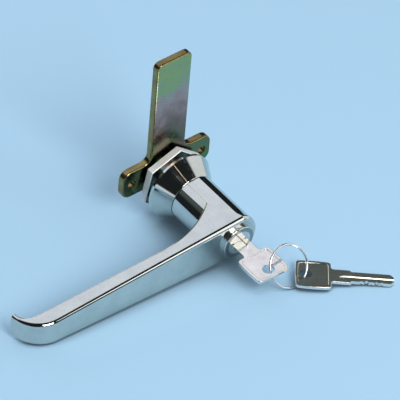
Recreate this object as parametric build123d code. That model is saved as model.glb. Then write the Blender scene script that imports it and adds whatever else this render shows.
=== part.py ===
from build123d import *
import math
import os

# Locking L-handle for a sheet metal door, in millimetres.
# Y is the turning axis. Y = 0 is the outer face of the door, +Y goes into the door.
# At rest the lever points to -X and the blade of the cam points to +Z.

# Clearances
running_fit = 0.05
seat_fit = 0.02
face_gap = 0.3
slide_fit = 0.15
stop_gap = 0.25

# How closely a point must match a size to count as lying on it
match = 0.001

# Rose: tapered escutcheon with a threaded shank behind it
rose_base_diameter = 38.7
rose_rim_height = 1.4
rose_rim_round = 0.6
rose_front_diameter = 27.0
rose_front_round = 0.4
rose_height = 11.6
shank_diameter = 24.0
shank_length = 9.0
shank_across_flats = 21.6

# Fixing nut on the shank, behind the door: its corners reach as far out as the rim of the rose
door_thickness = 4.1
nut_flat_step = 2.45
nut_across_flats = rose_base_diameter - 2 * nut_flat_step
nut_thickness = 4.2
nut_turn = 19.4
nut_chamfer = 0.35

# Handle casting
neck_diameter = 26.8
neck_flat_depth = 0.5
head_flare = 1.0
head_flare_length = 7.0
front_projection = 48.6
lever_reach = 130.4
lever_tip_width = 13.8
lever_root_thickness = 7.8
lever_root_distance = 42.0
knuckle_projection = 26.9
tip_outer_radius = 17.0
tip_inner_radius = 7.0
tip_lip_thickness = 2.6
front_edge_round = 1.9
back_edge_round = 0.9

# Journal of the handle in the rose, and the square tang for the cam
journal_diameter = 18.0
tang_across_flats = 9.0
tang_short_fall = 0.3

# Stop lug on the handle and its groove in the rose
handle_swing = 90.0
stop_lug_inner_radius = 10.2
stop_lug_outer_radius = 12.2
stop_lug_height = 1.8
stop_lug_angle = 24.0
stop_lug_centre = 45.0

# Cam plate
cam_thickness = 4.5
cam_blade_width = 22.2
cam_blade_reach = 80.6
cam_blade_corner = 3.4
cam_edge_round = 1.0
cam_hub_radius = 11.0
cam_ear_span = 57.4
cam_ear_height = 17.8
cam_ear_middle = 4.1
cam_ear_corner = 5.5
cam_rod_spacing = 45.8
cam_rod_height = 3.9
cam_rod_hole = 5.2
cam_shoulder_round = 4.5
cam_gap = 1.3

# Disc spring between the shank and the cam, and the cam's own washer and screw
disc_spring_thickness = 0.5
cam_washer_diameter = 14.5
cam_washer_thickness = 1.6
cam_washer_slit = 1.2
cam_screw_diameter = 6.0
cam_screw_grip = 11.0
cam_screw_head_across_flats = 10.0
cam_screw_head_height = 4.0
cam_screw_head_chamfer = 0.6

# Lock housing, pressed into the head of the handle
bezel_diameter = 19.0
bezel_height = 2.35
bezel_round = 0.7
housing_diameter = 17.0
housing_length = 24.0
pocket_extra_depth = 3.4

# Lock plug with its wafers
plug_diameter = 12.0
plug_head_diameter = 14.0
plug_head_height = 1.7
plug_tail_length = 3.0
wafer_count = 5
wafer_pitch = 2.6
wafer_thickness = 1.0
wafer_width = 6.0
wafer_first_depth = 5.0
wafer_tab_width = 1.5
wafer_tab_height = 1.0
wafer_spring_length = 2.4
wafer_spring_radius = 0.38
wafer_spring_wire = 0.2
wafer_spring_pitch = 0.8
broach_depth = 1.3
clip_thickness = 0.8
clip_width = 1.7
clip_groove_depth = 0.9
clip_opening = 60.0

# Driver that turns with the plug, and the bolt that it moves
driver_tongue_thickness = 2.0
driver_tongue_width = 5.6
driver_tongue_height = 1.8
driver_rod_diameter = 5.0
driver_disc_diameter = 7.8
driver_disc_height = 2.0
crank_offset = 1.9
crank_pin_diameter = 2.0
crank_lost_motion = 0.5
bolt_width = 8.4
bolt_thickness = 3.2
bolt_depth = 4.6
bolt_inner_end = 5.4

# Keys
key_thickness = 1.9
key_blade_width = 7.1
key_blade_length = 22.0
key_neck_width = 9.6
key_neck_length = 10.2
key_neck_round = 1.5
key_bow_width = 19.3
key_bow_length = 18.2
key_bow_bulge = 0.5
key_bow_corner = 1.8
key_rim_width = 1.3
key_rim_height = 0.3
key_edge_round = 0.3
key_hole_diameter = 6.4
key_hole_edge = 5.0
key_groove_width = 2.0
key_groove_depth = 0.45
key_groove_offset = 0.8
key_groove_start = 4.0
key_cut_pitch = 2.6
key_cut_half_width = 1.1
key_cut_depths = (0.5, 0.9, 0.4, 0.7, 0.5)
key_tip_chamfer = 1.8

# Key ring through both keys
ring_radius = 11.2
ring_wire = 1.3
ring_butt_angle = 1.5
ring_lean = 52.0
ring_hang = 16.5
ring_spare_angle = 30.0
ring_hole_shift = 1.3
spare_heading = -39.0
spare_pitch = 1.5
spare_roll = 5.0

# Sizes that follow from those above
neck_radius = neck_diameter / 2
head_half_width = neck_radius - neck_flat_depth
width_taper = (head_half_width - lever_tip_width / 2) / lever_reach
flat_half_chord = math.sqrt(neck_radius ** 2 - head_half_width ** 2)
head_radius = neck_radius + head_flare
tip_bend_start = -(lever_reach - tip_outer_radius)
journal_radius = journal_diameter / 2
rose_bore_radius = journal_radius + running_fit
neck_end = -(rose_height + face_gap)
cam_front = shank_length + cam_gap
cam_back = cam_front + cam_thickness
lock_face = -(front_projection + bezel_height)
housing_back = -front_projection + housing_length
plug_radius = plug_diameter / 2
plug_back = housing_back + plug_tail_length
pocket_back = housing_back + pocket_extra_depth
clip_front = housing_back + running_fit
bolt_front = -(bolt_depth + bolt_thickness)
driver_bore_radius = driver_disc_diameter / 2 + slide_fit
key_window_width = key_blade_width + 2 * slide_fit
key_window_height = key_thickness + 2 * slide_fit
key_blade_tip = lock_face - face_gap + key_blade_length
bow_start = lock_face - face_gap - key_neck_length
bow_end = bow_start - key_bow_length
key_hole_centre = bow_end + key_hole_edge


def block(x_range, y_range, z_range):
    """A box between two limits on each axis."""
    size = [high - low for low, high in (x_range, y_range, z_range)]
    middle = [(high + low) / 2 for low, high in (x_range, y_range, z_range)]
    return Pos(*middle) * Box(*size)


def bar(radius, start, end):
    """A round bar about the turning axis, from one Y to another."""
    base = Plane((0, start, 0), x_dir=(1, 0, 0), z_dir=(0, 1, 0))
    return base * Cylinder(radius, end - start, align=(Align.CENTER, Align.CENTER, Align.MIN))


def turned(*points):
    """A solid turned about the Y axis from a closed outline of (radius, y) points."""
    return revolve(make_face(Polyline(*points, close=True)), Axis.Y)


def facing(y):
    """The plane across the turning axis at y, drawn in X and Z."""
    return Plane((0, y, 0), x_dir=(1, 0, 0), z_dir=(0, -1, 0))


def pressed(sketch, start, end):
    """A sketch in X and Z given thickness from one Y to another."""
    return extrude(facing(start) * sketch, amount=start - end)


def edges_at(part, y, radius):
    """The round edges of a turned part at one y and radius."""
    found = part.edges().filter_by(GeomType.CIRCLE)
    return found.filter_by(lambda e: abs(e.center().Y - y) < match and abs(e.radius - radius) < match)


def ring_sector(inner, outer, middle_angle, span_angle):
    """A flat sector of a ring in X and Z, about a middle angle measured from +X towards +Z."""
    first = math.radians(middle_angle - span_angle / 2)
    last = math.radians(middle_angle + span_angle / 2)
    middle = math.radians(middle_angle)

    def at(radius, angle):
        return (radius * math.cos(angle), radius * math.sin(angle))

    outline = [
        ThreePointArc(at(inner, first), at(inner, middle), at(inner, last)),
        Line(at(inner, last), at(outer, last)),
        ThreePointArc(at(outer, last), at(outer, middle), at(outer, first)),
        Line(at(outer, first), at(inner, first)),
    ]
    return make_face(outline)


def bolt_notch(turn):
    """The space that the bolt enters in the bore of the rose, with the handle turned so far."""
    reach = journal_radius + crank_offset + stop_gap
    notch = block(
        (-bolt_width / 2 - stop_gap, bolt_width / 2 + stop_gap),
        (bolt_front - stop_gap, -bolt_depth + stop_gap),
        (-reach, -journal_radius / 2),
    )
    return Rot(0, turn, 0) * notch


def make_rose():
    base_radius = rose_base_diameter / 2
    front_radius = rose_front_diameter / 2
    shank_radius = shank_diameter / 2
    rose = turned(
        (rose_bore_radius, shank_length),
        (shank_radius, shank_length),
        (shank_radius, 0),
        (base_radius, 0),
        (base_radius, -rose_rim_height),
        (front_radius, -rose_height),
        (rose_bore_radius, -rose_height),
    )
    rose = fillet(edges_at(rose, -rose_rim_height, base_radius), rose_rim_round)
    rose = fillet(edges_at(rose, -rose_height, front_radius), rose_front_round)
    flat = shank_across_flats / 2
    for side in (-1, 1):
        rose -= block(sorted((side * flat, side * shank_diameter)), (0, shank_length), (-shank_radius, shank_radius))
    groove = ring_sector(
        stop_lug_inner_radius - stop_gap,
        stop_lug_outer_radius + stop_gap,
        stop_lug_centre - handle_swing / 2,
        stop_lug_angle + handle_swing + 2 * math.degrees(stop_gap / stop_lug_inner_radius),
    )
    rose -= pressed(groove, -rose_height, -rose_height + stop_lug_height + stop_gap)
    for turn in (0, handle_swing):
        rose -= bolt_notch(turn)
    return rose


def make_nut():
    outline = Rot(0, 0, nut_turn) * RegularPolygon(nut_across_flats / 2, 6, major_radius=False, rotation=0)
    nut = pressed(outline, door_thickness, door_thickness + nut_thickness)
    nut = chamfer(nut.edges().filter_by(Axis.Y, reverse=True), nut_chamfer)
    return nut - bar(shank_diameter / 2 + seat_fit, door_thickness, door_thickness + nut_thickness)


def lever_outline():
    """The side view of the head and lever, before the space for the hand is cut."""
    tip_end = -(front_projection - tip_outer_radius)
    outline = [
        Line((0, -front_projection), (tip_bend_start, -front_projection)),
        CenterArc((tip_bend_start, tip_end), tip_outer_radius, 270, -90),
        Line((-lever_reach, tip_end), (-lever_reach, -knuckle_projection)),
        Line((-lever_reach, -knuckle_projection), (0, -knuckle_projection)),
        Line((0, -knuckle_projection), (0, -front_projection)),
    ]
    return make_face(outline)


def hand_space_outline():
    """The side view of what is cut away behind the lever: hooked tip, straight run, swept knuckle."""
    root = (-lever_root_distance, -(front_projection - lever_root_thickness))
    bend_x = -(lever_reach - tip_lip_thickness - tip_inner_radius)
    bend_middle = (bend_x, -(front_projection - tip_outer_radius))
    bend = (bend_x, bend_middle[1] - tip_inner_radius)
    lip_end = (bend_x - tip_inner_radius, bend_middle[1])
    beyond = -2 * lever_reach
    behind = neck_end
    outline = [
        Line((beyond, behind), (beyond, lip_end[1])),
        Line((beyond, lip_end[1]), lip_end),
        CenterArc(bend_middle, tip_inner_radius, 180, 90),
        Line(bend, root),
        TangentArc(root, (-flat_half_chord, -knuckle_projection), tangent=(root[0] - bend[0], root[1] - bend[1])),
        Line((-flat_half_chord, -knuckle_projection), (-flat_half_chord, behind)),
        Line((-flat_half_chord, behind), (beyond, behind)),
    ]
    return make_face(outline)


def is_back_edge(edge):
    """Whether an edge runs along a side of the space for the hand."""
    middle = edge.position_at(0.5)
    outline = hand_space_outline().face().outer_wire()
    on_outline = outline.distance_to(Vertex(middle.X, middle.Y, 0)) < match
    inside_lip = middle.X > -lever_reach + tip_lip_thickness
    at_side = abs(middle.Z) > lever_tip_width / 4
    return on_outline and inside_lip and at_side


def make_neck():
    """The round neck of the handle, with a head that flares a little towards the front."""
    front = -front_projection
    flare = front + head_flare_length
    outline = [
        Line((0, neck_end), (neck_radius, neck_end)),
        Line((neck_radius, neck_end), (neck_radius, flare)),
        TangentArc((neck_radius, flare), (head_radius, front), tangent=(0, -1)),
        Line((head_radius, front), (0, front)),
        Line((0, front), (0, neck_end)),
    ]
    return revolve(make_face(outline), Axis.Y)


def make_handle():
    tall = neck_diameter
    neck = make_neck()
    body = extrude(lever_outline(), amount=tall, both=True) + neck
    near = head_half_width + width_taper * head_radius
    far = lever_tip_width / 2
    wedge = make_face(Polyline((head_radius, near), (-lever_reach, far), (-lever_reach, -far), (head_radius, -near),
                               close=True))
    body &= pressed(wedge, -front_projection, neck_end)
    front_edges = body.faces().sort_by(Axis.Y)[0].edges()
    rounded = front_edges.filter_by(lambda e: abs(e.center().X - tip_bend_start) > match)
    body = fillet(rounded, front_edge_round)
    body -= extrude(hand_space_outline(), amount=tall, both=True) - neck
    body = fillet(body.edges().filter_by(is_back_edge), back_edge_round)
    body += bar(journal_radius, neck_end, cam_front)
    tang = tang_across_flats / 2
    body += block((-tang, tang), (cam_front, cam_back - tang_short_fall), (-tang, tang))
    lug = ring_sector(stop_lug_inner_radius, stop_lug_outer_radius, stop_lug_centre, stop_lug_angle)
    body += pressed(lug, neck_end, neck_end + stop_lug_height)
    body -= bar(housing_diameter / 2 + seat_fit, -front_projection, pocket_back)
    body -= bar(driver_bore_radius, pocket_back, bolt_front)
    body -= block(
        (-bolt_width / 2 - slide_fit, bolt_width / 2 + slide_fit),
        (bolt_front - slide_fit, -bolt_depth + slide_fit),
        (-neck_radius, bolt_inner_end + slide_fit),
    )
    body -= bar(cam_screw_diameter / 2 + seat_fit, cam_back - cam_screw_grip, cam_back)
    return body


def make_cam():
    half = cam_blade_width / 2
    shoulder = cam_ear_middle + cam_ear_height / 2
    blade = Pos(0, cam_blade_reach / 2) * Rectangle(cam_blade_width, cam_blade_reach)
    blade = fillet(blade.vertices().group_by(Axis.Y)[-1], cam_blade_corner)
    ears = Pos(0, cam_ear_middle) * RectangleRounded(cam_ear_span, cam_ear_height, cam_ear_corner)
    outline = blade + ears + Circle(cam_hub_radius)
    corners = outline.vertices().filter_by(lambda v: abs(abs(v.X) - half) < match and abs(v.Y - shoulder) < match)
    outline = fillet(corners, cam_shoulder_round)
    cam = pressed(outline, cam_front, cam_back)
    cam = fillet(cam.edges().filter_by(Axis.Y, reverse=True), cam_edge_round)
    square = tang_across_flats + 2 * running_fit
    holes = Sketch() + Rectangle(square, square)
    for side in (-1, 1):
        holes += Pos(side * cam_rod_spacing / 2, cam_rod_height) * Circle(cam_rod_hole / 2)
    return cam - pressed(holes, cam_front, cam_back)


def make_disc_spring():
    inner = journal_radius + running_fit
    outer = shank_diameter / 2
    start = shank_length + running_fit
    end = cam_front
    return turned(
        (outer, start),
        (outer, start + disc_spring_thickness),
        (inner, end),
        (inner, end - disc_spring_thickness),
    )


def make_cam_washer():
    start = cam_back
    end = cam_back + cam_washer_thickness
    washer = bar(cam_washer_diameter / 2, start, end) - bar(cam_screw_diameter / 2 + running_fit, start, end)
    slit = block((-cam_washer_slit / 2, cam_washer_slit / 2), (start, end), (0, cam_washer_diameter))
    return washer - slit


def make_cam_screw():
    under_head = cam_back + cam_washer_thickness
    end = under_head + cam_screw_head_height
    head = pressed(RegularPolygon(cam_screw_head_across_flats / 2, 6, major_radius=False), under_head, end)
    across_corners = cam_screw_head_across_flats / math.cos(math.pi / 6)
    head &= turned(
        (0, under_head),
        (across_corners / 2, under_head),
        (across_corners / 2, end - cam_screw_head_chamfer),
        (cam_screw_head_across_flats / 2, end),
        (0, end),
    )
    return head + bar(cam_screw_diameter / 2, cam_back - cam_screw_grip + face_gap, under_head)


def make_housing():
    front = -front_projection
    bezel = bar(bezel_diameter / 2, lock_face, front)
    bezel = fillet(edges_at(bezel, lock_face, bezel_diameter / 2), bezel_round)
    housing = bezel + bar(housing_diameter / 2, front, housing_back)
    housing -= bar(plug_radius + running_fit, lock_face, housing_back)
    housing -= bar(plug_head_diameter / 2 + running_fit, lock_face, lock_face + plug_head_height + running_fit)
    groove_half = wafer_width / 2 + slide_fit
    reach = plug_radius + broach_depth
    housing -= block((-reach, reach), (front, housing_back), (-groove_half, groove_half))
    return housing


def wafer_middle(index):
    """The y of the middle of a wafer, counted from the front of the lock."""
    return lock_face + wafer_first_depth + index * wafer_pitch


def wafer_section(fit):
    """A wafer's outline in X and Z without its window, grown by a clearance."""
    half = wafer_width / 2
    outline = Rectangle(plug_diameter, wafer_width + 2 * fit) & Circle(plug_radius - slide_fit + fit)
    tab_low = -wafer_tab_height - fit
    tab = Pos((tab_low + fit) / 2, half + wafer_tab_width / 2) * Rectangle(
        wafer_tab_height + 2 * fit, wafer_tab_width + 2 * fit)
    return outline + tab


def make_wafer(index):
    outline = wafer_section(0) - Rectangle(key_window_width, key_window_height)
    middle = wafer_middle(index)
    return pressed(outline, middle - wafer_thickness / 2, middle + wafer_thickness / 2)


def spring_height():
    """The Z of the middle of each wafer spring."""
    return wafer_width / 2 + wafer_tab_width / 2


def make_wafer_spring(index):
    wire = wafer_spring_wire / 2
    path = Helix(wafer_spring_pitch, wafer_spring_length - 2 * wire - 2 * slide_fit, wafer_spring_radius)
    section = Plane(path @ 0, z_dir=path % 0) * Circle(wire)
    coil = sweep(section, path=path, is_frenet=True)
    return Pos(wire + slide_fit, wafer_middle(index), spring_height()) * Rot(0, 90, 0) * coil


def make_plug():
    head_back = lock_face + plug_head_height
    plug = bar(plug_head_diameter / 2, lock_face, head_back) + bar(plug_radius, head_back, plug_back)
    plug -= key_channel()
    for index in range(wafer_count):
        middle = wafer_middle(index)
        half = wafer_thickness / 2 + running_fit
        plug -= pressed(wafer_section(running_fit), middle - half, middle + half)
        plug -= block((-wafer_spring_wire / 2, wafer_spring_length), (middle - half, middle + half),
                      (wafer_width / 2 - slide_fit, wafer_width / 2 + wafer_tab_width + running_fit))
    groove = bar(plug_radius, clip_front, clip_front + clip_thickness + running_fit)
    plug -= groove - bar(plug_radius - clip_groove_depth, clip_front, clip_front + clip_thickness + running_fit)
    plug -= block(
        (-driver_tongue_thickness / 2 - running_fit, driver_tongue_thickness / 2 + running_fit),
        (plug_back - driver_tongue_height - running_fit, plug_back),
        (-plug_radius, plug_radius),
    )
    return plug


def key_channel():
    """The keyway: room for the blade, with ribs that run in the blade's grooves."""
    half_width = key_window_width / 2
    half_height = key_window_height / 2
    end = key_blade_tip + face_gap
    channel = block((-half_width, half_width), (lock_face, end), (-half_height, half_height))
    rib_half = key_groove_width / 2 - slide_fit
    rib_low = key_thickness / 2 - key_groove_depth + slide_fit
    for side in (-1, 1):
        middle = side * key_groove_offset
        rib_height = sorted((side * rib_low, side * half_height))
        channel -= block((middle - rib_half, middle + rib_half), (lock_face, end), rib_height)
    return channel


def make_clip():
    outer = plug_radius + clip_width - clip_groove_depth
    inner = plug_radius - clip_groove_depth + seat_fit
    start = clip_front + running_fit / 2
    outline = Circle(outer) - Circle(inner) - ring_sector(inner / 2, 2 * outer, -90, clip_opening)
    return pressed(outline, start, start + clip_thickness)


def make_driver():
    tongue = block(
        (-driver_tongue_thickness / 2, driver_tongue_thickness / 2),
        (plug_back - driver_tongue_height, plug_back),
        (-driver_tongue_width / 2, driver_tongue_width / 2),
    )
    disc_back = bolt_front - face_gap
    rod = bar(driver_rod_diameter / 2, plug_back, disc_back - driver_disc_height)
    disc = bar(driver_disc_diameter / 2, disc_back - driver_disc_height, disc_back)
    pin = Pos(0, 0, crank_offset) * bar(crank_pin_diameter / 2, disc_back, -bolt_depth)
    return tongue + rod + disc + pin


def make_bolt():
    half = bolt_width / 2
    outer = journal_radius - slide_fit
    bolt = block((-half, half), (bolt_front, -bolt_depth), (-outer, bolt_inner_end))
    bolt &= bar(outer, bolt_front, -bolt_depth)
    pin = crank_pin_diameter / 2 + slide_fit
    return bolt - block(
        (-pin, crank_offset + pin),
        (bolt_front, -bolt_depth),
        (crank_offset - pin, crank_offset + pin + crank_lost_motion),
    )


def bow_outline(inset):
    """The bow of a key, with sides that swell a little, set in from its edge."""
    half = key_bow_width / 2 - inset
    near = bow_start - inset
    far = bow_end + inset
    middle = (near + far) / 2
    swell = key_bow_bulge
    outline = make_face([
        ThreePointArc((-half, near), (-half - swell, middle), (-half, far)),
        ThreePointArc((-half, far), (0, far - swell), (half, far)),
        ThreePointArc((half, far), (half + swell, middle), (half, near)),
        Line((half, near), (-half, near)),
    ])
    return fillet(outline.vertices(), key_bow_corner)


def blade_outline():
    """The blade of a key, with its cuts along one edge."""
    half = key_blade_width / 2
    root = bow_start - key_bow_corner
    tip = key_blade_tip
    blade = make_face(Polyline((-half, root), (half, root), (half, tip - key_tip_chamfer),
                               (half - key_tip_chamfer, tip), (-half + key_tip_chamfer, tip),
                               (-half, tip - key_tip_chamfer), close=True))
    for index, depth in enumerate(key_cut_depths):
        middle = lock_face + wafer_first_depth + index * key_cut_pitch
        blade -= make_face(Polyline((-half, middle - key_cut_half_width), (-half + depth, middle - depth / 2),
                                    (-half + depth, middle + depth / 2), (-half, middle + key_cut_half_width),
                                    close=True))
    return blade


def key_groove(side):
    """The groove along one face of a key, with a pointed start in the neck."""
    half = key_groove_width / 2
    point = bow_start + key_groove_start
    outline = Polyline((-half, point + 2 * half), (0, point), (half, point + 2 * half), (half, key_blade_tip),
                       (-half, key_blade_tip), close=True)
    bottom = side * (key_thickness / 2 - key_groove_depth)
    return Pos(side * key_groove_offset, 0, bottom) * extrude(make_face(outline), amount=side * key_groove_depth)


def make_key():
    neck = Pos(0, bow_start + key_neck_length / 2) * Rectangle(key_neck_width, key_neck_length)
    outline = bow_outline(0) + neck
    corners = outline.vertices().filter_by(
        lambda v: abs(abs(v.X) - key_neck_width / 2) < match and abs(v.Y - bow_start) < match)
    half = key_thickness / 2
    key = extrude(fillet(corners, key_neck_round), amount=half, both=True)
    key = fillet(key.faces().filter_by(Axis.Z).edges(), key_edge_round)
    key += extrude(blade_outline(), amount=half, both=True)
    key -= extrude(Pos(0, key_hole_centre) * Circle(key_hole_diameter / 2), amount=half, both=True)
    for side in (-1, 1):
        panel = extrude(bow_outline(key_rim_width), amount=side * key_rim_height)
        key -= Pos(0, 0, side * (half - key_rim_height)) * panel
        key -= key_groove(side)
    return key


def ring_frame():
    """The plane of the key ring: its centre, and its X towards +X."""
    lean = math.radians(ring_lean)
    hang = math.radians(ring_hang)
    up = Vector(0, math.cos(lean), math.sin(lean))
    hole = Vector(ring_hole_shift, key_hole_centre, 0)
    centre = hole + Vector(1, 0, 0) * (ring_radius * math.cos(hang)) - up * (ring_radius * math.sin(hang))
    return Plane(centre, x_dir=(1, 0, 0), z_dir=(0, -math.sin(lean), math.cos(lean)))


def make_ring():
    path_start = ring_frame() * Location((0, 0, 0), (0, 0, 90))
    section = Pos(ring_radius, 0) * Circle(ring_wire / 2)
    ring = revolve(Plane.XZ * section, Axis.Z, 360 - ring_butt_angle)
    return path_start * ring


def spare_place():
    """Where the spare key hangs: its hole on the ring, its blade pointing outwards and a little down."""
    angle = math.radians(-ring_hang - ring_spare_angle)
    on_ring = ring_frame().from_local_coords((ring_radius * math.cos(angle), ring_radius * math.sin(angle), 0))
    heading = Pos(on_ring.X, on_ring.Y, on_ring.Z) * Rot(0, 0, spare_heading) * Rot(0, spare_pitch, 0)
    face_up = Rot(-spare_roll, 0, 0) * Rot(0, 0, -90) * Rot(0, 180, 0)
    return heading * face_up * Pos(0, -key_hole_centre, 0)


pieces = {
    "rose": make_rose(),
    "fixing_nut": make_nut(),
    "handle": make_handle(),
    "cam": make_cam(),
    "disc_spring": make_disc_spring(),
    "cam_washer": make_cam_washer(),
    "cam_screw": make_cam_screw(),
    "lock_housing": make_housing(),
    "lock_plug": make_plug(),
    "plug_clip": make_clip(),
    "lock_driver": make_driver(),
    "lock_bolt": make_bolt(),
    "key": make_key(),
    "key_ring": make_ring(),
    "spare_key": spare_place() * make_key(),
}
for number in range(wafer_count):
    pieces[f"wafer_{number + 1}"] = make_wafer(number)
    pieces[f"wafer_spring_{number + 1}"] = make_wafer_spring(number)

os.makedirs("parts", exist_ok=True)
for name, solid in pieces.items():
    export_step(solid, f"parts/{name}.step")
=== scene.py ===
import math
from collections import Counter

import bpy
from mathutils import Matrix, Vector


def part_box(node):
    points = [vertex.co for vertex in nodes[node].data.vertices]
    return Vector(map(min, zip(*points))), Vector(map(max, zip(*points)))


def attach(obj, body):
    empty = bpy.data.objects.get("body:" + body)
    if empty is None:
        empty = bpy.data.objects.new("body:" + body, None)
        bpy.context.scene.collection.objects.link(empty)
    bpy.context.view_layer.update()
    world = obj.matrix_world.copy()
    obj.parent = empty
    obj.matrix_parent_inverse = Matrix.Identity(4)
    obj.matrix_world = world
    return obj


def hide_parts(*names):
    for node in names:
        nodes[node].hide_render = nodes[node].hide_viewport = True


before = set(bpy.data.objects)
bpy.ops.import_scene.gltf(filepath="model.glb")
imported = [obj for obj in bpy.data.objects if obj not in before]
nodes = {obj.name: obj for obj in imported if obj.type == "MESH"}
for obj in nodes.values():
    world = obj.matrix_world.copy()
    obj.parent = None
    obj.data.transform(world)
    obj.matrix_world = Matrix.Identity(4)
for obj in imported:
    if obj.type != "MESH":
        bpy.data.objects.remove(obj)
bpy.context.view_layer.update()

# Camera, matched to the photograph: angles in degrees, lengths in metres
view_azimuth = -41.67
view_elevation = 44.84
view_roll = 5.22
view_distance = 2.0544
view_target = Vector((-0.0029, -0.0211, 0.0077))
view_limit = 10.0
view_lens_mm = 360.0
sensor_width_mm = 36.0

# Floor: the part lies on its rose, the end of its lever and its spare key
floor_slope_x = -0.064
floor_slope_y = -0.116
floor_half_size = 1.5
floor_colour = (0.42, 0.66, 0.87)
floor_own_light = 0.26

# Shade on the floor close under the part: its reach in metres, what it leaves of the colour,
# and how open the floor is where the shade is full and where it is gone
floor_shade_reach = 0.035
floor_shade_left = 0.22
floor_shade_open = (0.28, 0.62)

# Lamps: direction from the part, distance, width and height in metres, brightness, colour
lamps = {
    "softbox": (Vector((0.0, 0.539, 0.8435)), 1.0, (1.24, 0.41), 1.00, (0.85, 0.86, 1.0)),
    "key_lamp": (Vector((-0.10, -0.70, 0.70)), 2.4, (1.10, 1.10), 9.8, (1.0, 0.98, 0.95)),
    "front_panel": (Vector((0.505, -0.665, 0.550)), 1.0, (0.45, 0.74), 1.6, (1.0, 1.0, 1.0)),
    "back_panel": (Vector((0.10, 0.92, 0.30)), 1.0, (0.95, 0.55), 1.3, (1.0, 1.0, 1.0)),
    "warm_bulb": (Vector((-0.02, -0.43, 0.90)), 1.0, (0.03, 0.03), 1.5, (1.0, 0.72, 0.50)),
}

# Room: dark, a little lighter high up behind the part. Pairs are spans of the parts of a direction
room_dark = (0.016, 0.019, 0.021)
room_behind = (0.085, 0.105, 0.100)
room_behind_y = (0.25, 0.45)
room_high_z = (0.38, 0.52)

# Pale card low down beside the part, higher on the right, in parts of a direction as well
card_colour = (0.92, 0.93, 0.96)
card_left_height = 0.18
card_right_height = 0.70
card_rise_x = (-0.1, 0.3)
card_top_blur = 0.04
card_front_y = (-0.52, -0.44)
card_back_y = (0.24, 0.40)

# Head of the handle: its sharp rim in metres, where the flat top of the lever meets that rim,
# how far back the round reaches, how much fuller it gets, and the pocket of the lock, which stays
rim_radius = 0.0144
rim_end = math.radians(66.1)
rim_round = 0.0023
rim_growth = 1.26
pocket_radius = 0.0087

# Beads round the recesses in the bows of the keys: lengths in metres, and how nearly flat faces line up
bead_radius = 0.0003
bead_steps = 3
level_step = 0.00005
flat_match = 0.9999

# Plated finishes: pale and dark tint, smoothest and dullest gloss, waves per metre, their height
# in metres, and for the lock a darker colour on its flat face, painted shade for the shadowed floor it
# mirrors
plates = {
    "chrome_plate": ((0.63, 0.66, 0.62), (0.57, 0.60, 0.57), 0.03, 0.09, 30.0, 0.00004),
    "bright_zinc": ((0.74, 0.75, 0.76), (0.64, 0.65, 0.66), 0.20, 0.32, 60.0, 0.00003),
    "plug_plate": ((0.70, 0.71, 0.69), (0.62, 0.63, 0.61), 0.12, 0.22, 60.0, 0.00002),
    # The lock's last colour is painted shade on its flat face
    "lock_plate": ((0.70, 0.71, 0.69), (0.62, 0.63, 0.61), 0.12, 0.22, 60.0, 0.00002, (0.30, 0.33, 0.32)),
    "nickel_plate": ((0.87, 0.845, 0.79), (0.81, 0.775, 0.72), 0.10, 0.18, 90.0, 0.00003),
    "bright_steel": ((0.80, 0.81, 0.82), (0.70, 0.71, 0.73), 0.10, 0.18, 200.0, 0.00001),
    "spring_steel": ((0.42, 0.43, 0.45), (0.34, 0.35, 0.37), 0.20, 0.30, 200.0, 0.00001),
    "brass": ((0.80, 0.62, 0.32), (0.66, 0.48, 0.22), 0.16, 0.28, 300.0, 0.00001),
}

# Plating: features per metre, the part of a noise that makes specks, and what they leave of the dark tint
plate_cloud_grain = 120.0
plate_gloss_grain = 260.0
speck_grain = 900.0
speck_span = (0.28, 0.42)
speck_tint_left = 0.84

# Yellow zinc: tints along the blade of the cam, darker towards the hub as painted shade; their span and
# drift are in metres, and its edges
zinc_tints_and_hub_shade = [
    (0.00, (0.09, 0.20, 0.075)),
    (0.20, (0.14, 0.15, 0.09)),
    (0.33, (0.19, 0.14, 0.11)),
    (0.46, (0.28, 0.19, 0.165)),
    (0.58, (0.40, 0.265, 0.25)),
    (0.68, (0.40, 0.33, 0.30)),
    (0.78, (0.31, 0.38, 0.22)),
    (0.90, (0.31, 0.41, 0.16)),
    (1.00, (0.34, 0.33, 0.20)),
]
zinc_tint_span = (-0.005, 0.085)
zinc_tint_drift = 0.018
zinc_tint_grain = 55.0
zinc_edge_dark = (0.22, 0.16, 0.07)
zinc_edge_pale = (0.32, 0.27, 0.11)
zinc_edge_grain = 90.0
zinc_gloss = (0.18, 0.30)
zinc_gloss_grain = 300.0
zinc_skin_grain = 1500.0

# Nut: satin flats, nearly white with little metal in them, a painted highlight for the bright light they
# mirror
# Smoother faces that mirror the dark gaps, with a darker colour as painted shade. Pairs are for flats and
# faces
nut_flat_highlight_dark = (0.92, 0.93, 0.94)
nut_flat_highlight_pale = (0.97, 0.97, 0.97)
nut_face_shade = (0.42, 0.46, 0.45)
nut_gloss = (0.45, 0.14)
nut_metal = (0.20, 1.0)
nut_cloud_grain = 140.0
nut_skin_grain = 900.0

# Shared by the finishes: height of a fine skin in metres, the part of a noise that makes clouds,
# and how squarely edges and flat faces point along the turning axis
skin_height = 0.00002
cloud_span = (0.35, 0.65)
facing_span = (0.70, 0.97)

wafer_springs = [name for name in nodes if name.startswith("wafer_spring_")]
wafers = [name for name in nodes if name.startswith("wafer_") and name not in wafer_springs]

# Which nodes wear which plated finish
worn_by = {
    "chrome_plate": ["rose", "handle"],
    "bright_zinc": ["cam_washer", "cam_screw"],
    "plug_plate": ["lock_plug"],
    "lock_plate": ["lock_housing"],
    "nickel_plate": ["key", "spare_key"],
    "bright_steel": ["key_ring", "lock_bolt", "lock_driver"],
    "spring_steel": ["disc_spring", "plug_clip", *wafer_springs],
    "brass": wafers,
}


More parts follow.
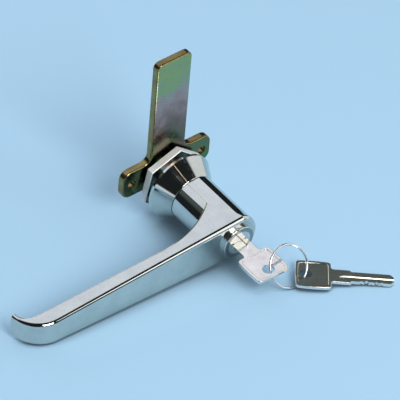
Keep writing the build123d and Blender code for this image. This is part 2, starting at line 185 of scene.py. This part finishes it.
def add_object(name, data):
    """A new object in the scene."""
    item = bpy.data.objects.new(name, data)
    bpy.context.scene.collection.objects.link(item)
    return item


def placed(across, up, back, place):
    """The matrix of a lamp or camera at a place, from the directions of its three axes."""
    turn = Matrix((across, up, back)).transposed()
    return Matrix.Translation(place) @ turn.to_4x4()


def new_material(name):
    """A new metal material, with its node tree and shader."""
    material = bpy.data.materials.new(name)
    material.use_nodes = True
    tree = material.node_tree
    shader = tree.nodes["Principled BSDF"]
    shader.inputs["Metallic"].default_value = 1.0
    return material, tree, shader


def axes_of(tree, kind):
    """The X, Y and Z parts of a texture coordinate."""
    place = tree.nodes.new("ShaderNodeTexCoord")
    axes = tree.nodes.new("ShaderNodeSeparateXYZ")
    tree.links.new(place.outputs[kind], axes.inputs["Vector"])
    return axes.outputs


def object_noise(tree, scale, detail, roughness=0.5):
    """A noise texture fixed to the part, with features of about 1 / scale metres."""
    place = tree.nodes.new("ShaderNodeTexCoord")
    noise = tree.nodes.new("ShaderNodeTexNoise")
    noise.inputs["Scale"].default_value = scale
    noise.inputs["Detail"].default_value = detail
    noise.inputs["Roughness"].default_value = roughness
    tree.links.new(place.outputs["Object"], noise.inputs["Vector"])
    return noise.outputs["Fac"]


def ramp(tree, value, stops):
    """A colour ramp over a value, from (position, colour) stops."""
    node = tree.nodes.new("ShaderNodeValToRGB")
    elements = node.color_ramp.elements
    while len(elements) < len(stops):
        elements.new(0.5)
    for element, (position, colour) in zip(elements, stops):
        element.position = position
        element.color = (*colour, 1.0)
    tree.links.new(value, node.inputs["Fac"])
    return node.outputs["Color"]


def spread(tree, value, low, high, source_low=0.3, source_high=0.7):
    """A value stretched from its usual span to between low and high."""
    node = tree.nodes.new("ShaderNodeMapRange")
    node.inputs["From Min"].default_value = source_low
    node.inputs["From Max"].default_value = source_high
    node.inputs["To Min"].default_value = low
    node.inputs["To Max"].default_value = high
    tree.links.new(value, node.inputs["Value"])
    return node.outputs["Result"]


def bump(tree, height, distance):
    """A surface roughened by a height, of which the full span is a distance in metres."""
    node = tree.nodes.new("ShaderNodeBump")
    node.inputs["Distance"].default_value = distance
    tree.links.new(height, node.inputs["Height"])
    return node.outputs["Normal"]


def blend(tree, factor, first, second):
    """A colour between two others, each a colour socket or a plain colour."""
    mix = tree.nodes.new("ShaderNodeMix")
    mix.data_type = "RGBA"
    tree.links.new(factor, mix.inputs["Factor"])
    for name, colour in (("A", first), ("B", second)):
        if isinstance(colour, tuple):
            mix.inputs[name].default_value = (*colour, 1.0)
        else:
            tree.links.new(colour, mix.inputs[name])
    return mix.outputs["Result"]


def combine(tree, operation, *values):
    """The result of a math operation on one or two value sockets."""
    node = tree.nodes.new("ShaderNodeMath")
    node.operation = operation
    for value, socket in zip(values, node.inputs):
        tree.links.new(value, socket)
    return node.outputs[0]


def clouds(tree, grain, dark, pale, detail):
    """A colour that drifts between two tints in clouds."""
    low, high = cloud_span
    return ramp(tree, object_noise(tree, grain, detail), [(low, dark), (high, pale)])


def facing_y(tree):
    """How squarely a surface faces along the turning axis: 1 on flat faces across it, 0 on edges."""
    size = combine(tree, "ABSOLUTE", axes_of(tree, "Normal")["Y"])
    return spread(tree, size, 0.0, 1.0, *facing_span)


def plated_metal(name, pale, dark, smooth, dull, wave_grain, wave_height, face=None):
    """Polished plating: faint clouds and darker specks, uneven gloss, and a slight waviness.

    Flat faces across the turning axis can have a darker colour of their own: painted shade.
    """
    material, tree, shader = new_material(name)
    tint = clouds(tree, plate_cloud_grain, dark, pale, detail=5.0)
    speck_noise = object_noise(tree, speck_grain, detail=6.0, roughness=0.65)
    specks = spread(tree, speck_noise, 1.0, 0.0, *speck_span)
    colour = blend(tree, specks, tint, tuple(speck_tint_left * part for part in dark))
    # Painted shade: a darker colour on flat faces across the turning axis
    if face:
        colour = blend(tree, facing_y(tree), colour, face)
    gloss = spread(tree, object_noise(tree, plate_gloss_grain, detail=6.0), smooth, dull)
    waves = bump(tree, object_noise(tree, wave_grain, detail=2.0), wave_height)
    tree.links.new(colour, shader.inputs["Base Color"])
    tree.links.new(gloss, shader.inputs["Roughness"])
    tree.links.new(waves, shader.inputs["Normal"])
    return material


def yellow_zinc(name):
    """Yellow passivated zinc plate: its tint drifts along the plate, darker towards the hub as painted
    shade, and its edges are gold brown.
    """
    material, tree, shader = new_material(name)
    tint_noise = object_noise(tree, zinc_tint_grain, detail=5.0, roughness=0.6)
    drift = spread(tree, tint_noise, -zinc_tint_drift, zinc_tint_drift)
    height = combine(tree, "ADD", axes_of(tree, "Object")["Z"], drift)
    # The tints darken towards the hub: painted shade, over the plate's own colours
    plate = ramp(tree, spread(tree, height, 0.0, 1.0, *zinc_tint_span), zinc_tints_and_hub_shade)
    edge = clouds(tree, zinc_edge_grain, zinc_edge_dark, zinc_edge_pale, detail=4.0)
    gloss = spread(tree, object_noise(tree, zinc_gloss_grain, detail=6.0), *zinc_gloss)
    skin = bump(tree, object_noise(tree, zinc_skin_grain, detail=4.0), skin_height)
    tree.links.new(blend(tree, facing_y(tree), edge, plate), shader.inputs["Base Color"])
    tree.links.new(gloss, shader.inputs["Roughness"])
    tree.links.new(skin, shader.inputs["Normal"])
    return material


def nut_with_painted_light(name):
    """Bright zinc on the nut: satin flats with a painted highlight, and smoother faces that mirror the dark
    gaps, with painted shade.
    """
    material, tree, shader = new_material(name)
    face = facing_y(tree)
    # Painted highlight on the flats, painted shade on the faces
    flat_highlight = clouds(tree, nut_cloud_grain, nut_flat_highlight_dark, nut_flat_highlight_pale, detail=5.0)
    skin = bump(tree, object_noise(tree, nut_skin_grain, detail=4.0), skin_height)
    tree.links.new(blend(tree, face, flat_highlight, nut_face_shade), shader.inputs["Base Color"])
    tree.links.new(spread(tree, face, *nut_gloss, 0.0, 1.0), shader.inputs["Roughness"])
    tree.links.new(spread(tree, face, *nut_metal, 0.0, 1.0), shader.inputs["Metallic"])
    tree.links.new(skin, shader.inputs["Normal"])
    return material


def floor_material():
    """Pale blue paper, darker close under the part.

    Part of its brightness is its own, seen directly and in mirrors, so that it stays pale in a plain light.
    """
    material = bpy.data.materials.new("pale_floor")
    material.use_nodes = True
    tree = material.node_tree
    tree.nodes.clear()
    covered = tree.nodes.new("ShaderNodeAmbientOcclusion")
    covered.inputs["Distance"].default_value = floor_shade_reach
    share = spread(tree, covered.outputs["AO"], floor_shade_left, 1.0, *floor_shade_open)
    colour = blend(tree, share, (0.0, 0.0, 0.0), floor_colour)
    paper = tree.nodes.new("ShaderNodeBsdfDiffuse")
    tree.links.new(colour, paper.inputs["Color"])
    rays = tree.nodes.new("ShaderNodeLightPath")
    seen = combine(tree, "MAXIMUM", rays.outputs["Is Camera Ray"], rays.outputs["Is Glossy Ray"])
    glow = tree.nodes.new("ShaderNodeEmission")
    tree.links.new(colour, glow.inputs["Color"])
    tree.links.new(spread(tree, seen, 0.0, floor_own_light, 0.0, 1.0), glow.inputs["Strength"])
    both = tree.nodes.new("ShaderNodeAddShader")
    tree.links.new(paper.outputs["BSDF"], both.inputs[0])
    tree.links.new(glow.outputs["Emission"], both.inputs[1])
    output = tree.nodes.new("ShaderNodeOutputMaterial")
    tree.links.new(both.outputs["Shader"], output.inputs["Surface"])
    return material


def make_floor():
    """A flat sheet that touches the lowest points of the part."""
    up = Vector((-floor_slope_x, -floor_slope_y, 1.0)).normalized()
    height = min(up.dot(vertex.co) for node in nodes.values() for vertex in node.data.vertices)
    side = up.orthogonal().normalized() * floor_half_size
    ahead = up.cross(side)
    middle = up * height
    corners = [middle + side + ahead, middle - side + ahead, middle - side - ahead, middle + side - ahead]
    mesh = bpy.data.meshes.new("floor")
    mesh.from_pydata(corners, [], [(0, 1, 2, 3)])
    mesh.materials.append(floor_material())
    floor = add_object("floor", mesh)


def make_lamp(name, direction, distance, size, brightness, colour):
    """A flat soft lamp that faces the part."""
    data = bpy.data.lights.new(name, "AREA")
    data.shape = "RECTANGLE"
    data.size = size[0]
    data.size_y = size[1]
    data.energy = brightness * math.pi * size[0] * size[1]
    data.color = colour
    back = direction.normalized()
    across = Vector((0, 0, 1)).cross(back).normalized()
    lamp = add_object(name, data)
    lamp.matrix_world = placed(across, back.cross(across), back, back * distance)


def make_world():
    """A dark room with a pale card low down on each side of the part. The camera sees the floor's colour."""
    world = bpy.data.worlds.new("room")
    bpy.context.scene.world = world
    world.use_nodes = True
    tree = world.node_tree
    axes = axes_of(tree, "Generated")
    behind = spread(tree, axes["Y"], 0.0, 1.0, *room_behind_y)
    high = spread(tree, axes["Z"], 0.0, 1.0, *room_high_z)
    room = blend(tree, combine(tree, "MULTIPLY", behind, high), room_dark, room_behind)
    card_top = spread(tree, axes["X"], card_left_height, card_right_height, *card_rise_x)
    above_card = combine(tree, "SUBTRACT", axes["Z"], card_top)
    low = spread(tree, above_card, 1.0, 0.0, -card_top_blur, card_top_blur)
    from_front = spread(tree, axes["Y"], 0.0, 1.0, *card_front_y)
    to_back = spread(tree, axes["Y"], 1.0, 0.0, *card_back_y)
    beside = combine(tree, "MULTIPLY", from_front, to_back)
    room = blend(tree, combine(tree, "MULTIPLY", low, beside), room, card_colour)
    rays = tree.nodes.new("ShaderNodeLightPath")
    colour = blend(tree, rays.outputs["Is Camera Ray"], room, floor_colour)
    tree.links.new(colour, tree.nodes["Background"].inputs["Color"])


def make_camera():
    """A long lens from where the photograph was taken, rolled as it was."""
    azimuth = math.radians(view_azimuth)
    elevation = math.radians(view_elevation)
    roll = math.radians(view_roll)
    level = Vector((math.cos(azimuth), math.sin(azimuth), 0))
    outward = Vector((math.sin(azimuth), -math.cos(azimuth), 0))
    back = outward * math.cos(elevation) + Vector((0, 0, math.sin(elevation)))
    upright = back.cross(level)
    right = level * math.cos(roll) + upright * math.sin(roll)
    up = upright * math.cos(roll) - level * math.sin(roll)
    data = bpy.data.cameras.new("camera")
    data.lens = view_lens_mm
    data.sensor_width = sensor_width_mm
    data.clip_end = view_limit
    camera = add_object("camera", data)
    camera.matrix_world = placed(right, up, back, view_target + back * view_distance)
    bpy.context.scene.camera = camera


def make_round_head(material):
    """The handle again, with a fuller round at the front of its head that runs out along the lever."""
    mesh = nodes["handle"].data.copy()
    normals = [corner.vector.copy() for corner in mesh.corner_normals]
    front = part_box("handle")[0][1]
    for vertex in mesh.vertices:
        place = vertex.co
        on_head = place.x > 0 and math.hypot(place.x, place.z) > pocket_radius
        if on_head and place.y < front + rim_round:
            angle = max(-rim_end, min(rim_end, math.atan2(place.z, place.x)))
            sharp = Vector((rim_radius * math.cos(angle), front, rim_radius * math.sin(angle)))
            vertex.co = sharp + (place - sharp) * rim_growth
    mesh.normals_split_custom_set(normals)
    mesh.materials.clear()
    mesh.materials.append(material)
    casting = add_object("handle_casting", mesh)
    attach(casting, "lever")
    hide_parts("handle")


def recess_faces(mesh, side):
    """The flat faces just below the outermost ones on one side of a thin piece: the recess in its bow."""
    widest = max(mesh.polygons, key=lambda face: face.area)
    outward = widest.normal * side
    levels = {}
    for face in mesh.polygons:
        if face.normal.dot(outward) > flat_match:
            level = round(face.center.dot(outward) / level_step)
            levels.setdefault(level, []).append(face)
    top = max(levels)
    below = [faces for level, faces in levels.items() if level < top - 1]
    return max(below, key=lambda faces: sum(face.area for face in faces))


def border_loops(faces):
    """The loops of corners round a patch of faces, each in order."""
    uses = Counter(pair for face in faces for pair in face.edge_keys)
    beside = {}
    for first, second in (pair for pair, count in uses.items() if count == 1):
        beside.setdefault(first, []).append(second)
        beside.setdefault(second, []).append(first)
    loops = []
    while beside:
        loop = [next(iter(beside))]
        following = loop
        while following:
            following = [corner for corner in beside.pop(loop[-1]) if corner in beside][:1]
            loop += following
        loops.append(loop)
    return loops


def around(mesh, corners):
    """The length round a loop of corners."""
    places = [mesh.vertices[corner].co for corner in corners]
    return sum((place - places[index - 1]).length for index, place in enumerate(places))


def add_beads(node_name, body, material):
    """A rounded bead along the foot of the raised rim, on both faces of a key."""
    mesh = nodes[node_name].data
    curve = bpy.data.curves.new(f"{node_name}_beads", "CURVE")
    curve.dimensions = "3D"
    curve.bevel_depth = bead_radius
    curve.bevel_resolution = bead_steps
    for side in (-1, 1):
        loops = border_loops(recess_faces(mesh, side))
        loop = max(loops, key=lambda corners: around(mesh, corners))
        spline = curve.splines.new("POLY")
        spline.points.add(len(loop) - 1)
        for point, corner in zip(spline.points, loop):
            point.co = (*mesh.vertices[corner].co, 1.0)
        spline.use_cyclic_u = True
    curve.materials.append(material)
    beads = add_object(f"{node_name}_beads", curve)
    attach(beads, body)


def dress(material, names):
    """Gives CAD nodes a material."""
    for name in names:
        node = nodes[name]
        node.data.materials.clear()
        node.data.materials.append(material)


finishes = {name: plated_metal(name, *values) for name, values in plates.items()}
for finish, wearers in worn_by.items():
    dress(finishes[finish], wearers)
dress(nut_with_painted_light("zinc_with_painted_light"), ["fixing_nut"])
dress(yellow_zinc("yellow_zinc"), ["cam"])

make_round_head(finishes["chrome_plate"])
add_beads("key", "inserted_key", finishes["nickel_plate"])
add_beads("spare_key", "hanging_key", finishes["nickel_plate"])
make_floor()
for lamp_name, lamp_values in lamps.items():
    make_lamp(lamp_name, *lamp_values)
make_world()
make_camera()
bpy.context.scene.view_settings.view_transform = "Standard"
